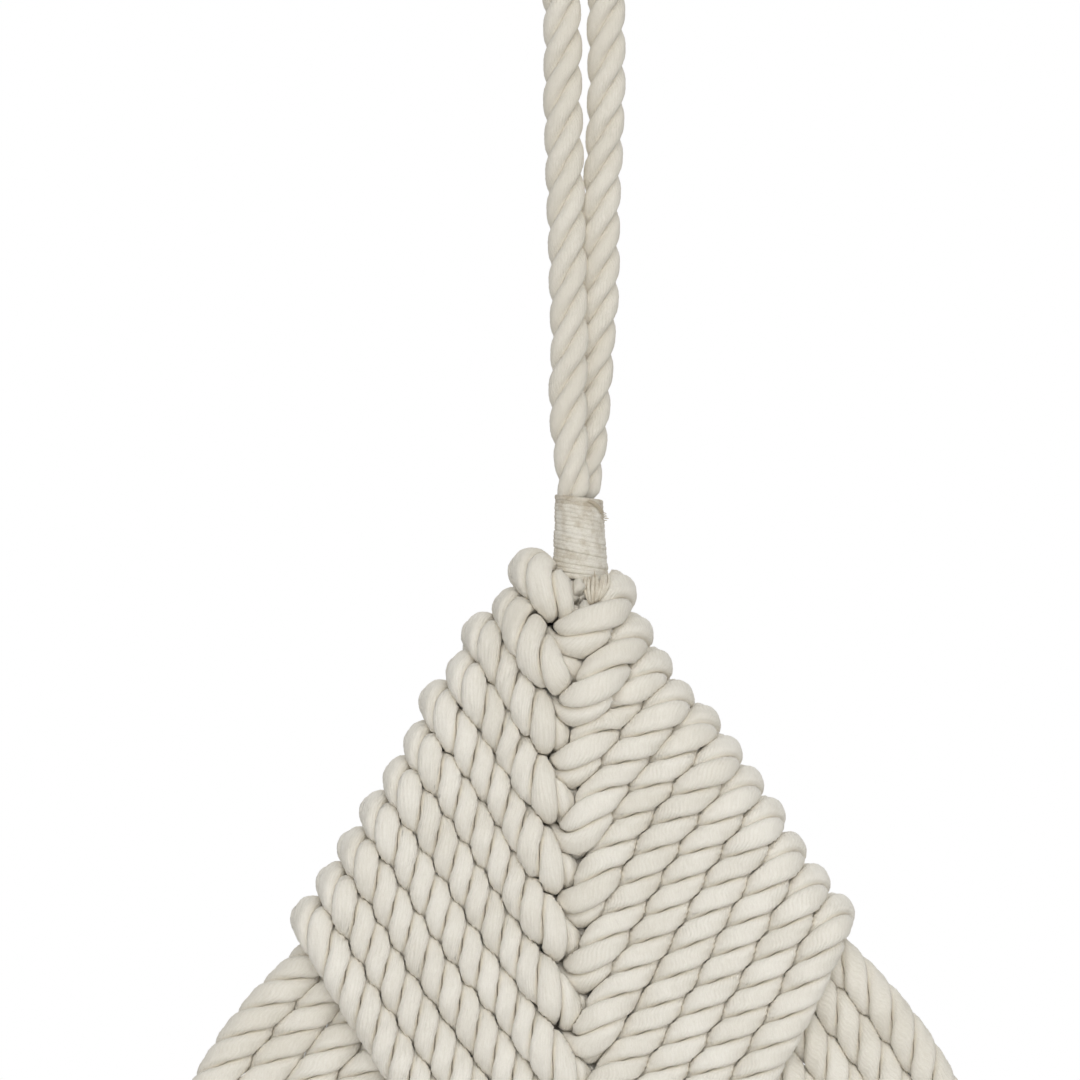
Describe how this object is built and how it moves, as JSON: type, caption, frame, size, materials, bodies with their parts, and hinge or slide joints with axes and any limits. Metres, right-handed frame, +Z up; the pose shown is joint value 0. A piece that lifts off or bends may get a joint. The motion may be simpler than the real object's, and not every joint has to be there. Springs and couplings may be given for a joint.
{
  "type": "macrame wall hanging",
  "caption": "Wall hanging of thick natural cotton rope: a plaited kite-shaped panel under a bound hanging loop, its ropes leaving the lower edges as a long hanging fringe.",
  "frame": {"origin": "inside crown of the hanging loop, where a hook or nail carries it", "axes": "+X to the right seen from the front, -Y out of the front face, +Z up along the loop"},
  "size_m": [0.231, 0.0365, 0.7141],
  "materials": {
    "cotton_rope": "natural unbleached cotton, matt, loosely spun and slightly hairy",
    "twine": "thin cotton twine wound tight, matt",
    "frayed_yarn": "loose frayed yarn, matt"
  },
  "bodies": {
    "root": {"rope_left_01": "cotton_rope", "rope_left_02": "cotton_rope", "rope_left_03": "cotton_rope", "rope_left_04": "cotton_rope", "rope_left_05": "cotton_rope", "rope_left_06": "cotton_rope", "rope_left_07": "cotton_rope", "rope_left_08": "cotton_rope", "rope_left_09": "cotton_rope", "rope_left_10": "cotton_rope", "rope_left_11": "cotton_rope", "rope_right_01": "cotton_rope", "rope_right_02": "cotton_rope", "rope_right_03": "cotton_rope", "rope_right_04": "cotton_rope", "rope_right_05": "cotton_rope", "rope_right_06": "cotton_rope", "rope_right_07": "cotton_rope", "rope_right_08": "cotton_rope", "rope_right_09": "cotton_rope", "rope_right_10": "cotton_rope", "rope_right_11": "cotton_rope", "hanging_loop": "cotton_rope", "whipping": "twine", "tuft": "frayed_yarn"}
  },
  "joints": []
}
